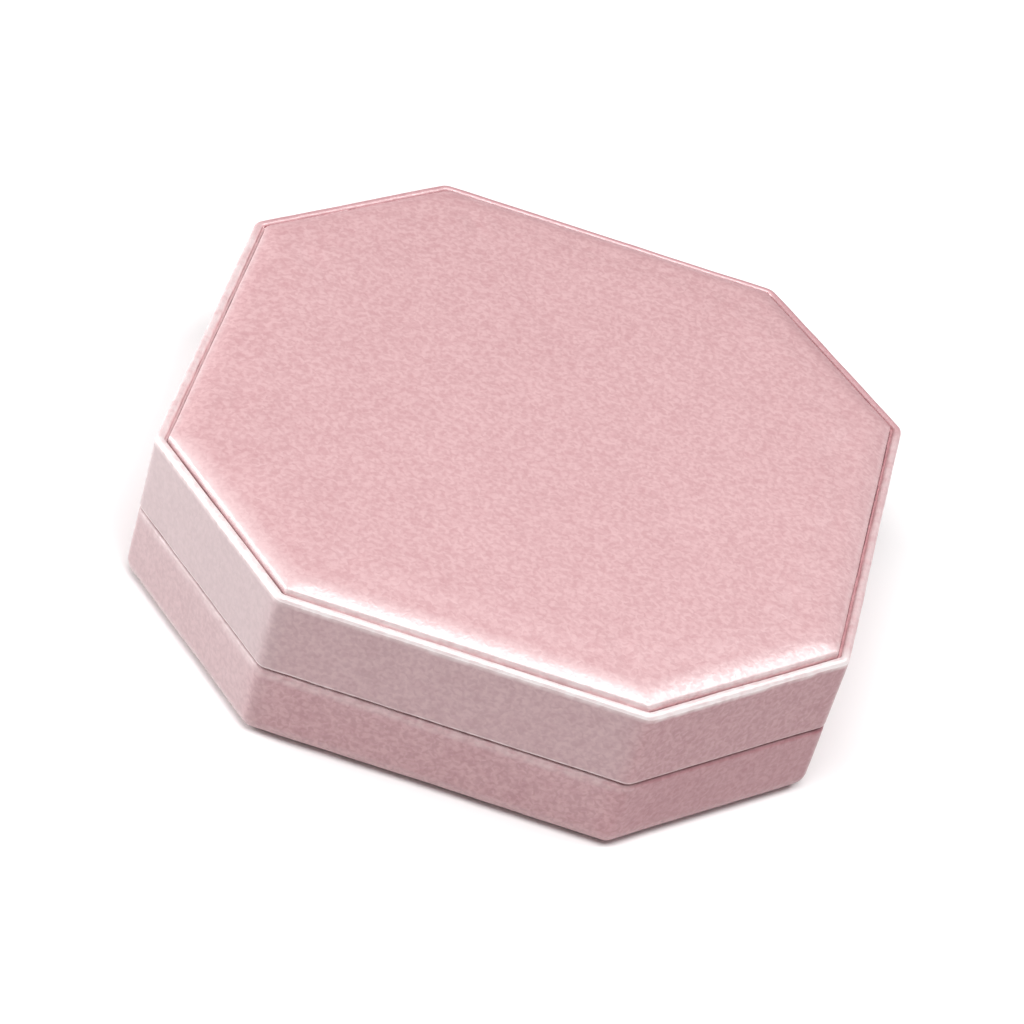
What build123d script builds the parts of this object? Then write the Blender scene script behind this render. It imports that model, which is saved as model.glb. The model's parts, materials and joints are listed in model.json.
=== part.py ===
from build123d import *
import math
import os

# Octagonal velvet jewelry box with a hinged lid, in millimetres.
# The origin is at the middle of the underside. +Z is up, +X runs along the front edge and
# +Y points from the front wall to the hinges in the back wall. The lid is shown closed.

os.makedirs("parts", exist_ok=True)

# ---- driving dimensions ----
LENGTH = 190.0  # along X, over the velvet
DEPTH = 195.0  # along Y, over the velvet
CORNER_CUT = 45.5  # what each 45 degree corner takes off both sides
CORNER_RADIUS = 2.0  # on the upright edges between the eight walls
RIM_TOP = 48.0  # top of the lid's rim above the underside
PARTING = 23.0  # height of the hinge axis, midway between base and lid
GAP = 0.5  # between the closed lid and the base

SKIN = 0.6  # velvet with its backing
SHELL = 2.6  # moulded wall
FLOOR = 2.0  # moulded floor of the base and top plate of the lid
FOOT_RADIUS = 5.5  # round edge all around the underside
LIP_RADIUS = 0.8  # rolled edges at the parting line
RIM_RADIUS = 1.3  # outer edge of the lid's rim
TURN_IN = 9.0  # how far the velvet is glued down inside the walls
GLUE_STRIP = 8.0  # how far it is glued under the base and in the lid's recess

RIM_SHELL = 1.2  # moulded lip around the lid's recess
RIM_DEPTH = 3.0  # from the rim down to the recess floor, on the moulding
PANEL_GAP = 0.9  # groove between the rim and the padded top panel
PANEL_BOARD = 1.0
PANEL_RISE = 2.8  # crown of the padded panel above the rim
PANEL_SHOULDER = 8.5  # width over which the crown falls to the groove

LINING_GAP = 1.0  # room between the moulded wall and the lining, for the hinge leaves
LINING = 1.4  # velvet covered card that lines the walls
INSERT_BOARD = 1.5
INSERT_TOP = 15.0  # top of the padded insert
INSERT_INSET = 6.1  # from the box's outside to the insert
PAD_INSET = 5.9  # from the box's outside to the lid's padded lining
PAD_HEIGHT = 6.0  # the lid's padded lining, with its board
PAD_BOARD = 1.4
SATIN = 0.4

ROLL_RADIUS = 3.4
ROLL_LENGTH = 45.0
ROLL_GAP = 0.1
ROLLS_Y = -50.0
HOOK_RADIUS = 0.7
HOOK_HEAD = 1.7
HOOKS = (48.0, 62.0)
HOOK_HEIGHT = 3.2  # from the insert to the middle of the hook's head
HOOK_DEPTH = 7.0
EARRING_HOLE = 0.8
EARRINGS = (14.0, -18.0)
EARRING_DEPTH = 6.0

HINGE_X = 26.0  # middle of each hinge from the middle of the box
HINGE_WIDTH = 22.0
HINGE_INSET = 1.7  # from the back of the box to the hinge axis
KNUCKLE_RADIUS = 1.6
PIN_RADIUS = 0.8
PIN_HEAD = 1.2
FIT = 0.05  # radial clearance of pins, rivets and hooks
LEAF = 0.6  # sheet the hinge leaves are bent from
LEAF_HEIGHT = 10.0
LID_KNUCKLE = 7.4
KNUCKLE_GAP = 0.3
NOTCH_DEPTH = 2.0  # of the wall cut-outs for the hinges, from the axis
NOTCH_WIDTH = 24.0
BEVEL = 50.0  # slope of the back edges, so the lid can turn to 100 degrees
BEVEL_CLEAR = 0.3  # from the hinge axis to the bevelled velvet
RIVET_RADIUS = 0.75
RIVET_HEAD = 1.6
RIVET_HEAD_HEIGHT = 0.35
RIVET_LENGTH = 2.3
RIVET_X = 6.0  # from the middle of the hinge
RIVET_Z = 6.5  # from the hinge axis

MAGNET_X = 30.0
MAGNET = (12.0, 1.4, 4.0)
POCKET_CLEAR = 0.1

# ---- dimensions that follow ----
BASE_TOP = PARTING - GAP / 2
LID_BOTTOM = PARTING + GAP / 2
WALL_IN = SKIN + SHELL
SKIN_IN = WALL_IN + SKIN
FLOOR_TOP = SKIN + FLOOR
RECESS = RIM_TOP - RIM_DEPTH  # moulded floor of the recess in the lid
CEILING = RECESS - FLOOR
LINING_IN = WALL_IN + LINING_GAP
LINING_OUT = LINING_IN + LINING
RIM_IN = SKIN + RIM_SHELL + SKIN
PANEL_INSET = RIM_IN + PANEL_GAP
PANEL_BOTTOM = RECESS + SKIN
INSERT_CORE = INSERT_TOP - SKIN
INSERT_BOTTOM = FLOOR_TOP + INSERT_BOARD
AXIS_Y = DEPTH / 2 - HINGE_INSET
LEAF_Y = DEPTH / 2 - WALL_IN  # inner face of the moulded back wall
HINGES = (-HINGE_X, HINGE_X)
RIVETS = [hinge + side * RIVET_X for hinge in HINGES for side in (-1, 1)]
ALONG_X = (0, 90, 0)
ALONG_Y = (90, 0, 0)


def corner_points(inset):
    """Corners of the box's plan, with every wall moved inwards by inset."""
    x = LENGTH / 2 - inset
    y = DEPTH / 2 - inset
    cut = CORNER_CUT - (2 - math.sqrt(2)) * inset
    right = [(x - cut, -y), (x, cut - y), (x, y - cut), (x - cut, y)]
    left = [(-px, py) for px, py in reversed(right)]
    return right + left


def outline(inset):
    """The plan as a face in the current sketch."""
    Polygon(*corner_points(inset), align=None)
    fillet(vertices(), max(CORNER_RADIUS - inset, 0.5))


def prism(inset, bottom, top, mode=Mode.ADD):
    """Octagonal block between two heights in the current part."""
    with BuildSketch(Plane.XY.offset(bottom)) as plan:
        outline(inset)
    extrude(plan.sketch, amount=top - bottom, mode=mode)


def crown(inset, edge, rise, shoulder):
    """Soft shoulder on top of an octagonal block: a quarter ellipse in four steps."""
    levels = []
    for degrees in (0, 30, 60, 90):
        turn = math.radians(degrees)
        with BuildSketch(Plane.XY.offset(edge + rise * math.sin(turn))) as level:
            outline(inset + shoulder * (1 - math.cos(turn)))
        levels.append(level.sketch.face())
    loft(levels, ruled=True)


def bevel_back(clear):
    """V-shaped cut along the back of the parting line, clear of the hinge axis."""
    slope = math.radians(BEVEL)
    apex = AXIS_Y - clear / math.sin(slope)
    reach = DEPTH / 2 - apex + 1
    rise = reach * math.tan(slope)
    with BuildSketch(Plane.YZ) as wedge:
        Polygon(
            (apex, PARTING),
            (apex + reach, PARTING + rise),
            (apex + reach, PARTING - rise),
            align=None,
        )
    extrude(wedge.sketch, amount=LENGTH / 2, both=True, mode=Mode.SUBTRACT)


def cut_box(x, y_range, z_range, width):
    """Rectangular cut at x, between two depths and two heights."""
    size_y = y_range[1] - y_range[0]
    size_z = z_range[1] - z_range[0]
    with Locations((x, sum(y_range) / 2, sum(z_range) / 2)):
        Box(width, size_y, size_z, mode=Mode.SUBTRACT)


def notch_hinges():
    """Cut-outs through the back wall, above and below the axis, for the knuckles."""
    for hinge in HINGES:
        heights = (PARTING - NOTCH_DEPTH, PARTING + NOTCH_DEPTH)
        cut_box(hinge, (LEAF_Y - 2, DEPTH / 2 + 2), heights, NOTCH_WIDTH)


def clear_leaves(side):
    """Bare patches in the turned-in velvet, where the hinge leaves lie on the moulding."""
    ends = sorted((PARTING, PARTING + side * (LEAF_HEIGHT + 2)))
    for hinge in HINGES:
        cut_box(hinge, (LEAF_Y - 2, LEAF_Y), ends, NOTCH_WIDTH)


def drill_rivets(side, radius, depth):
    """Holes from the inner face of the back wall."""
    for x in RIVETS:
        with Locations(Location((x, LEAF_Y, PARTING + side * RIVET_Z), ALONG_Y)):
            Cylinder(radius, 2 * depth, mode=Mode.SUBTRACT)


def pocket_magnets(side):
    """Pockets in the front wall, open to the parting edge of the moulding."""
    edge = PARTING + side * (GAP / 2 + SKIN)
    ends = sorted((edge, edge + side * (MAGNET[2] + 2 * POCKET_CLEAR)))
    middle = SKIN + SHELL / 2 - DEPTH / 2
    half = MAGNET[1] / 2 + POCKET_CLEAR
    for x in (-MAGNET_X, MAGNET_X):
        cut_box(x, (middle - half, middle + half), ends, MAGNET[0] + 2 * POCKET_CLEAR)


# ---- base: moulding and outer velvet ----
with BuildPart() as base_form:
    prism(0, 0, BASE_TOP)
    fillet(base_form.faces().sort_by(Axis.Z)[0].edges(), FOOT_RADIUS)
    fillet(base_form.faces().sort_by(Axis.Z)[-1].edges(), LIP_RADIUS)
    bevel_back(BEVEL_CLEAR)

with BuildPart() as base_moulding:
    prism(SKIN, SKIN, BASE_TOP - SKIN)
    fillet(base_moulding.faces().sort_by(Axis.Z)[0].edges(), FOOT_RADIUS - SKIN)
    bevel_back(BEVEL_CLEAR + SKIN)
    prism(WALL_IN, FLOOR_TOP, BASE_TOP, Mode.SUBTRACT)

with BuildPart() as base_shell:
    add(base_moulding.part)
    notch_hinges()
    drill_rivets(-1, RIVET_RADIUS + FIT, RIVET_LENGTH - LEAF + FIT)
    pocket_magnets(-1)

with BuildPart() as base_cover:
    add(base_form.part)
    add(base_moulding.part, mode=Mode.SUBTRACT)
    prism(SKIN_IN, FLOOR_TOP, BASE_TOP, Mode.SUBTRACT)
    prism(WALL_IN, FLOOR_TOP, BASE_TOP - TURN_IN, Mode.SUBTRACT)
    prism(GLUE_STRIP, 0, SKIN, Mode.SUBTRACT)
    notch_hinges()
    clear_leaves(-1)

with BuildPart() as base_floor_sheet:
    prism(GLUE_STRIP + PANEL_GAP, 0, SKIN)

with BuildPart() as base_side_lining:
    prism(LINING_IN, FLOOR_TOP, BASE_TOP - 2 * SKIN)
    prism(LINING_OUT, FLOOR_TOP, BASE_TOP, Mode.SUBTRACT)

# ---- base: padded insert that holds a necklace, earrings and rings ----
TROUGH = (ROLL_LENGTH + 1, 4 * ROLL_RADIUS + 3 * ROLL_GAP)
TROUGH_FLOOR = INSERT_CORE - 2 * ROLL_RADIUS - ROLL_GAP


def insert_cuts():
    """Trough for the ring rolls and holes for hooks and earring posts."""
    halves = (ROLLS_Y - TROUGH[1] / 2, ROLLS_Y + TROUGH[1] / 2)
    cut_box(0, halves, (TROUGH_FLOOR, INSERT_TOP), TROUGH[0])
    for side in (-1, 1):
        with Locations((side * HOOKS[0], HOOKS[1], INSERT_TOP)):
            Cylinder(HOOK_RADIUS + FIT, 2 * HOOK_DEPTH, mode=Mode.SUBTRACT)
        with Locations((side * EARRINGS[0], EARRINGS[1], INSERT_TOP)):
            Cylinder(EARRING_HOLE, 2 * EARRING_DEPTH, mode=Mode.SUBTRACT)


with BuildPart() as insert_board:
    prism(INSERT_INSET, FLOOR_TOP, INSERT_BOTTOM)

with BuildPart() as insert_block:
    prism(INSERT_INSET + SKIN, INSERT_BOTTOM, INSERT_CORE)
    fillet(insert_block.faces().sort_by(Axis.Z)[-1].edges(), 1.4)

with BuildPart() as insert_foam:
    add(insert_block.part)
    insert_cuts()

with BuildPart() as insert_cover:
    prism(INSERT_INSET, INSERT_BOTTOM, INSERT_TOP)
    fillet(insert_cover.faces().sort_by(Axis.Z)[-1].edges(), 2.0)
    add(insert_block.part, mode=Mode.SUBTRACT)
    insert_cuts()

with BuildPart() as ring_rolls:
    for side in (-1, 1):
        roll_y = ROLLS_Y + side * (ROLL_RADIUS + ROLL_GAP / 2)
        with Locations(Location((0, roll_y, INSERT_CORE - ROLL_RADIUS), ALONG_X)):
            Cylinder(ROLL_RADIUS, ROLL_LENGTH)
    fillet(ring_rolls.edges().filter_by(GeomType.CIRCLE), 1.2)

with BuildPart() as necklace_hooks:
    for side in (-1, 1):
        post = HOOK_DEPTH + HOOK_HEIGHT
        with Locations((side * HOOKS[0], HOOKS[1], INSERT_TOP - HOOK_DEPTH + post / 2)):
            Cylinder(HOOK_RADIUS, post)
        with Locations((side * HOOKS[0], HOOKS[1], INSERT_TOP + HOOK_HEIGHT)):
            Sphere(HOOK_HEAD)

# ---- lid: moulding and outer velvet ----
with BuildPart() as lid_form:
    prism(0, LID_BOTTOM, RIM_TOP)
    fillet(lid_form.faces().sort_by(Axis.Z)[0].edges(), LIP_RADIUS)
    fillet(lid_form.faces().sort_by(Axis.Z)[-1].edges(), RIM_RADIUS)
    bevel_back(BEVEL_CLEAR)

with BuildPart() as lid_moulding:
    prism(SKIN, LID_BOTTOM + SKIN, RIM_TOP - SKIN)
    fillet(lid_moulding.faces().sort_by(Axis.Z)[-1].edges(), RIM_RADIUS - SKIN)
    bevel_back(BEVEL_CLEAR + SKIN)
    prism(WALL_IN, LID_BOTTOM, CEILING, Mode.SUBTRACT)
    prism(SKIN + RIM_SHELL, RECESS, RIM_TOP, Mode.SUBTRACT)

with BuildPart() as lid_shell:
    add(lid_moulding.part)
    notch_hinges()
    drill_rivets(1, RIVET_RADIUS + FIT, RIVET_LENGTH - LEAF + FIT)
    pocket_magnets(1)

with BuildPart() as lid_cover:
    add(lid_form.part)
    add(lid_moulding.part, mode=Mode.SUBTRACT)
    prism(SKIN_IN, LID_BOTTOM, CEILING, Mode.SUBTRACT)
    prism(WALL_IN, LID_BOTTOM + TURN_IN, CEILING, Mode.SUBTRACT)
    prism(RIM_IN, PANEL_BOTTOM, RIM_TOP, Mode.SUBTRACT)
    prism(GLUE_STRIP, RECESS, RIM_TOP, Mode.SUBTRACT)
    notch_hinges()
    clear_leaves(1)

# ---- lid: padded panel set into the recess on top ----
BOARD_BOTTOM = PANEL_BOTTOM + SKIN
BOARD_TOP = BOARD_BOTTOM + PANEL_BOARD

with BuildPart() as top_panel_board:
    prism(PANEL_INSET + SKIN, BOARD_BOTTOM, BOARD_TOP)

with BuildPart() as top_panel_foam:
    prism(PANEL_INSET + SKIN, BOARD_TOP, RIM_TOP - SKIN)
    crown(PANEL_INSET + SKIN, RIM_TOP - SKIN, PANEL_RISE, PANEL_SHOULDER)

with BuildPart() as top_panel_cover:
    prism(PANEL_INSET, PANEL_BOTTOM, RIM_TOP)
    crown(PANEL_INSET, RIM_TOP, PANEL_RISE, PANEL_SHOULDER)
    add(top_panel_foam.part, mode=Mode.SUBTRACT)
    prism(PANEL_INSET + SKIN, BOARD_BOTTOM, BOARD_TOP, Mode.SUBTRACT)
    prism(PANEL_INSET + GLUE_STRIP, PANEL_BOTTOM, BOARD_BOTTOM, Mode.SUBTRACT)

# ---- lid: lining ----
PAD_BOTTOM = CEILING - PAD_HEIGHT
PAD_BOARD_BOTTOM = CEILING - PAD_BOARD

with BuildPart() as lid_side_lining:
    prism(LINING_IN, LID_BOTTOM + 2 * SKIN, CEILING)
    prism(LINING_OUT, LID_BOTTOM, CEILING, Mode.SUBTRACT)

with BuildPart() as lid_pad_board:
    prism(PAD_INSET + SATIN, PAD_BOARD_BOTTOM, CEILING)

with BuildPart() as lid_pad_foam:
    prism(PAD_INSET + SATIN, PAD_BOTTOM + SATIN, PAD_BOARD_BOTTOM)
    fillet(lid_pad_foam.faces().sort_by(Axis.Z)[0].edges(), 3.0)

with BuildPart() as lid_pad_cover:
    prism(PAD_INSET, PAD_BOTTOM, CEILING)
    fillet(lid_pad_cover.faces().sort_by(Axis.Z)[0].edges(), 3.4)
    add(lid_pad_foam.part, mode=Mode.SUBTRACT)
    prism(PAD_INSET + SATIN, PAD_BOARD_BOTTOM, CEILING, Mode.SUBTRACT)


# ---- hinges, rivets and magnets ----
def hinge_leaf(hinge, side, spans):
    """One bent leaf: a plate on the back wall, necks, and knuckles over the given spans."""
    inner = KNUCKLE_RADIUS - LEAF  # height of the leaf's bend above or below the axis
    plate_z = PARTING + side * (inner + LEAF_HEIGHT / 2)
    with Locations((hinge, LEAF_Y - LEAF / 2, plate_z)):
        Box(HINGE_WIDTH, LEAF, LEAF_HEIGHT)
    for low, high in spans:
        middle = hinge + (low + high) / 2
        neck = AXIS_Y - LEAF_Y + LEAF
        with Locations((middle, AXIS_Y - neck / 2, PARTING + side * (inner + LEAF / 2))):
            Box(high - low, neck, LEAF)
        with Locations(Location((middle, AXIS_Y, PARTING), ALONG_X)):
            Cylinder(KNUCKLE_RADIUS, high - low)
            Cylinder(PIN_RADIUS + FIT, high - low, mode=Mode.SUBTRACT)


def round_leaves(leaves, side):
    """Round off the two far corners of each plate, and drill the rivet holes."""
    far = leaves.edges().filter_by(Axis.Y).sort_by(Axis.Z, reverse=side > 0)[:4]
    fillet(far, 2.0)
    drill_rivets(side, RIVET_RADIUS + FIT, 2 * LEAF)


def rivet_row(side):
    """Four rivets with round heads inside the box."""
    for x in RIVETS:
        head_y = LEAF_Y - LEAF - RIVET_HEAD_HEIGHT / 2
        with Locations(Location((x, head_y, PARTING + side * RIVET_Z), ALONG_Y)):
            Cylinder(RIVET_HEAD, RIVET_HEAD_HEIGHT)
        shank_y = LEAF_Y - LEAF + RIVET_LENGTH / 2
        with Locations(Location((x, shank_y, PARTING + side * RIVET_Z), ALONG_Y)):
            Cylinder(RIVET_RADIUS, RIVET_LENGTH)


def magnet_pair(side):
    """Two bar magnets in the front wall."""
    edge = PARTING + side * (GAP / 2 + SKIN)
    z = edge + side * (MAGNET[2] / 2 + POCKET_CLEAR)
    with Locations(*[(x, SKIN + SHELL / 2 - DEPTH / 2, z) for x in (-MAGNET_X, MAGNET_X)]):
        Box(*MAGNET)


LID_SPAN = (-LID_KNUCKLE / 2, LID_KNUCKLE / 2)
BASE_SPANS = (
    (-HINGE_WIDTH / 2, LID_SPAN[0] - KNUCKLE_GAP),
    (LID_SPAN[1] + KNUCKLE_GAP, HINGE_WIDTH / 2),
)

with BuildPart() as hinge_base_leaves:
    for hinge in HINGES:
        hinge_leaf(hinge, -1, BASE_SPANS)
    round_leaves(hinge_base_leaves, -1)

with BuildPart() as hinge_lid_leaves:
    for hinge in HINGES:
        hinge_leaf(hinge, 1, [LID_SPAN])
    round_leaves(hinge_lid_leaves, 1)

with BuildPart() as hinge_pins:
    for hinge in HINGES:
        with Locations(Location((hinge, AXIS_Y, PARTING), ALONG_X)):
            Cylinder(PIN_RADIUS, HINGE_WIDTH + 2 * FIT)
        for side in (-1, 1):
            head_x = hinge + side * (HINGE_WIDTH / 2 + FIT + PIN_RADIUS / 4)
            with Locations(Location((head_x, AXIS_Y, PARTING), ALONG_X)):
                Cylinder(PIN_HEAD, PIN_RADIUS / 2)

with BuildPart() as hinge_base_rivets:
    rivet_row(-1)

with BuildPart() as hinge_lid_rivets:
    rivet_row(1)

with BuildPart() as base_magnets:
    magnet_pair(-1)

with BuildPart() as lid_magnets:
    magnet_pair(1)

# ---- one file per piece ----
PIECES = {
    "base_shell": base_shell,
    "base_cover": base_cover,
    "base_floor_sheet": base_floor_sheet,
    "base_side_lining": base_side_lining,
    "insert_board": insert_board,
    "insert_foam": insert_foam,
    "insert_cover": insert_cover,
    "ring_rolls": ring_rolls,
    "necklace_hooks": necklace_hooks,
    "base_magnets": base_magnets,
    "hinge_base_leaves": hinge_base_leaves,
    "hinge_base_rivets": hinge_base_rivets,
    "hinge_pins": hinge_pins,
    "lid_shell": lid_shell,
    "lid_cover": lid_cover,
    "top_panel_board": top_panel_board,
    "top_panel_foam": top_panel_foam,
    "top_panel_cover": top_panel_cover,
    "lid_side_lining": lid_side_lining,
    "lid_pad_board": lid_pad_board,
    "lid_pad_foam": lid_pad_foam,
    "lid_pad_cover": lid_pad_cover,
    "lid_magnets": lid_magnets,
    "hinge_lid_leaves": hinge_lid_leaves,
    "hinge_lid_rivets": hinge_lid_rivets,
}
for label, piece in PIECES.items():
    piece.part.label = label
    export_step(piece.part, f"parts/{label}.step")
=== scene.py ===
import json
import math

import bmesh
import bpy
import numpy as np
from mathutils import Matrix, Vector, geometry, noise


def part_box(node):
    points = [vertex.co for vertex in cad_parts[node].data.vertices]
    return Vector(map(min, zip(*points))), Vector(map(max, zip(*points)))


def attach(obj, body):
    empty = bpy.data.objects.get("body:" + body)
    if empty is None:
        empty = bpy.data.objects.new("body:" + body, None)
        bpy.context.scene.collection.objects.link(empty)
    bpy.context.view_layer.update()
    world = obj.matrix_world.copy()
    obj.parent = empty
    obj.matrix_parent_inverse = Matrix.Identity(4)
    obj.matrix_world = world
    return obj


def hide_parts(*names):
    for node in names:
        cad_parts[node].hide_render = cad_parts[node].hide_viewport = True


# Octagonal velvet jewelry box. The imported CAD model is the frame; the soft pieces are rebuilt
# here as velvet, satin and felt. Everything is in metres, +Z up, with the hinges at +Y.

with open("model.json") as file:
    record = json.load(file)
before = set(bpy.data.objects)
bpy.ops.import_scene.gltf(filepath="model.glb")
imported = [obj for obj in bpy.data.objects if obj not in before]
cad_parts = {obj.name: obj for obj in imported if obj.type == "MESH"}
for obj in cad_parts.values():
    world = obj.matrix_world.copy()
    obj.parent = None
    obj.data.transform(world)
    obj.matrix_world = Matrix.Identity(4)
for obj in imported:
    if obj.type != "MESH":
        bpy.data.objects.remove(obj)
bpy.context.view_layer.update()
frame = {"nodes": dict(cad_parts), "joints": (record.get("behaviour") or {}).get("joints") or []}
MM = 0.001

# ---- sizes read from the frame ----
BASE_LOW, BASE_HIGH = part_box("base_cover")
LID_LOW, LID_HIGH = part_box("lid_cover")
PANEL_LOW, PANEL_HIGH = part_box("top_panel_cover")
SHELL_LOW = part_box("base_shell")[0]
INSERT_LOW, INSERT_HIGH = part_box("insert_cover")
PAD_LOW, PAD_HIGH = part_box("lid_pad_cover")
BASE_LINING_LOW, BASE_LINING_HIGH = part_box("base_side_lining")
LID_LINING_LOW, LID_LINING_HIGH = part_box("lid_side_lining")
ROLLS_LOW, ROLLS_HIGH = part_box("ring_rolls")
HOOKS_LOW, HOOKS_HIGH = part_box("necklace_hooks")
HINGE = next(j for j in frame["joints"] if j["name"] == "lid_hinge")
AXIS_Y, AXIS_Z = HINGE["pos_m"][1:]

LENGTH = BASE_HIGH.x - BASE_LOW.x
DEPTH = BASE_HIGH.y - BASE_LOW.y
SKIN = SHELL_LOW.x - BASE_LOW.x
BASE_TOP = BASE_HIGH.z
LID_BOTTOM = LID_LOW.z
RIM_TOP = LID_HIGH.z

# ---- sizes of the velvet work ----
CORNER_CUT = 45.5 * MM  # what each 45 degree corner takes off both sides
CORNER_RADIUS = 4.0 * MM  # of the outline's eight corners
INNER_RADIUS = 0.5 * MM  # of the corners well inside the outline
WALL_IN = 3.2 * MM  # inner face of the moulded wall
SKIN_IN = WALL_IN + SKIN
FOOT_RADIUS = 5.5 * MM
LIP_RADIUS = 1.3 * MM  # of the edges that meet at the parting
SAG = 0.12 * MM  # how far the pile reaches into the gap between lid and base
RIM_RADIUS = 1.3 * MM  # of the rim's outer edge
RIM_IN = 2.4 * MM  # the rim's width
RIM_INNER_RADIUS = 1.0 * MM
TUCK_DEPTH = 1.4 * MM  # how far the velvet dips between the rim and the top panel
TURN_IN = 9.0 * MM  # how far the velvet goes down inside the walls
GLUE_STRIP = 8.0 * MM  # how far it goes in under the foot and the top panel
RECESS = RIM_TOP - 3.0 * MM + SKIN  # height of the velvet in the recess for the top panel
SHOULDER = 8.5 * MM  # width of the top panel's round edge
LINING = 1.4 * MM  # thickness of the covered card inside the walls
BEVEL = math.radians(50)  # how steeply the back wall's parting edges lean away from the hinges
BEVEL_SLOPE = math.tan(BEVEL)
BEVEL_APEX = AXIS_Y - 0.3 * MM / math.sin(BEVEL)
BEVEL_FADE = 10.0 * MM  # height over which the wall takes up the bevel
WALL_LIT_SIDE = Vector((-0.9, -0.4))  # walls whose edge faces this way get a painted sheen, and those facing away get painted shade
PANEL_LIT_SIDE = Vector((-0.1, -1.0))  # the same painted light for the top, whose edges towards the front are painted paler
BASE_EXTRA_SHADE = 0.3  # how much further the base's cloth is moved towards the painted shade colour than the lid's
MARGIN = 10.0 * MM  # width of the band of painted light and shade along the edges of the box
TURNING = 1.2 * MM  # how gradually the painted light and shade turn at the corners
PAINTED_LIGHT_SHARE = 0.7  # how much the painted sheen and painted shade show

# points along each long side, each cut corner and each turn of the outline
SIDE_STEPS, CHAMFER_STEPS, ARC_STEPS = 44, 28, 6


# ---- outlines and profiles ----
def inset_of(low):
    """How far a node's left side lies inside the box's left side."""
    return low.x - BASE_LOW.x


def corners(inset):
    """The eight corners of the outline, anticlockwise from the front's right end."""
    x, y = LENGTH / 2 - inset, DEPTH / 2 - inset
    cut = CORNER_CUT - (2 - math.sqrt(2)) * inset
    right = [(x - cut, -y), (x, cut - y), (x, y - cut), (x - cut, y)]
    return [Vector(p) for p in right + [(-px, py) for px, py in reversed(right)]]


def plan_loop(inset, softness=0.0):
    """Points around the box's plan, anticlockwise from the front's right end. The plan is moved inwards
    by inset, and softness makes its corners rounder."""
    turns = corners(inset)
    radius = max(CORNER_RADIUS - inset, INNER_RADIUS) + softness
    trim = radius * math.tan(math.pi / 8)
    arcs = []
    for k, here in enumerate(turns):
        along = (here - turns[k - 1]).normalized()
        inward = Vector((-along.y, along.x))
        centre = here - along * trim + inward * radius
        turned = [i / ARC_STEPS * math.pi / 4 for i in range(ARC_STEPS + 1)]
        spokes = [along * math.sin(a) - inward * math.cos(a) for a in turned]
        arcs.append([centre + spoke * radius for spoke in spokes])
    points = []
    for k, arc in enumerate(arcs):
        points += arc
        steps = CHAMFER_STEPS if k % 2 == 0 else SIDE_STEPS
        after = arcs[(k + 1) % 8][0]
        points += [arc[-1].lerp(after, i / steps) for i in range(1, steps)]
    return points


def bend(start, corner, end, steps):
    """Quarter ellipse from start to end, tangent to the two lines that meet at corner."""
    middle = [s + e - c for s, c, e in zip(start, corner, end)]
    turns = [i / steps * math.pi / 2 for i in range(steps + 1)]
    return [
        tuple(m + (s - m) * math.cos(a) + (e - m) * math.sin(a) for s, m, e in zip(start, middle, end))
        for a in turns
    ]


def line(start, end, step):
    """Points from start towards end, about step apart, without the last one."""
    count = max(1, round(math.dist(start, end) / step))
    return [tuple(s + (e - s) * i / count for s, e in zip(start, end)) for i in range(count)]


# ---- mesh building ----
def new_mesh(name, verts, faces, fold):
    """A smooth mesh whose points carry how far they are folded over an edge, from 0 to 1, which sets their
    painted highlight.
    """
    mesh = bpy.data.meshes.new(name)
    mesh.from_pydata([tuple(v) for v in verts], [], faces)
    mesh.shade_smooth()
    layer = mesh.attributes.new("fold", "FLOAT", "POINT")
    if fold is not None:
        layer.data.foreach_set("value", np.array(fold, np.float32))
    mesh.update()
    return mesh


def new_object(name, verts, faces, fold):
    obj = bpy.data.objects.new(name, new_mesh(name, verts, faces, fold))
    bpy.context.scene.collection.objects.link(obj)
    return obj


def rings(loops, closed=False):
    """Faces between neighbouring loops of equal length."""
    size = len(loops[0])
    count = len(loops)
    faces = []
    for i in range(count if closed else count - 1):
        low, high = i * size, (i + 1) % count * size
        for j in range(size):
            after = (j + 1) % size
            faces.append((low + j, low + after, high + after, high + j))
    return faces


def inside(points, loop):
    """Which of the points lie inside a closed loop, by counting crossings."""
    a = np.array(loop)
    b = np.roll(a, -1, axis=0)
    x, y = points[:, :1], points[:, 1:]
    spans = (a[:, 1] > y) != (b[:, 1] > y)
    slope = (b[:, 0] - a[:, 0]) / np.where(b[:, 1] == a[:, 1], 1, b[:, 1] - a[:, 1])
    left_of = x < a[:, 0] + (y - a[:, 1]) * slope
    return (spans & left_of).sum(axis=1) % 2 == 1


def clear_of(points, loop, distance):
    """Which of the points are further than distance from every point of a loop."""
    gaps = points[:, None, :] - np.array(loop)[None, :, :]
    return np.hypot(gaps[..., 0], gaps[..., 1]).min(axis=1) > distance


def lattice(loop, spacing):
    """A triangular lattice of points over a loop's extent."""
    low, high = np.min(loop, axis=0), np.max(loop, axis=0)
    rise = spacing * math.sqrt(0.75)
    rows = np.arange(1, int((high[1] - low[1]) / rise) + 1)
    columns = np.arange(int((high[0] - low[0]) / spacing) + 1)
    x = low[0] + (columns[None, :] + 0.5 * (rows[:, None] % 2)) * spacing
    y = low[1] + rows[:, None] * rise + 0 * x
    return np.stack([x.ravel(), y.ravel()], axis=1)


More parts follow.
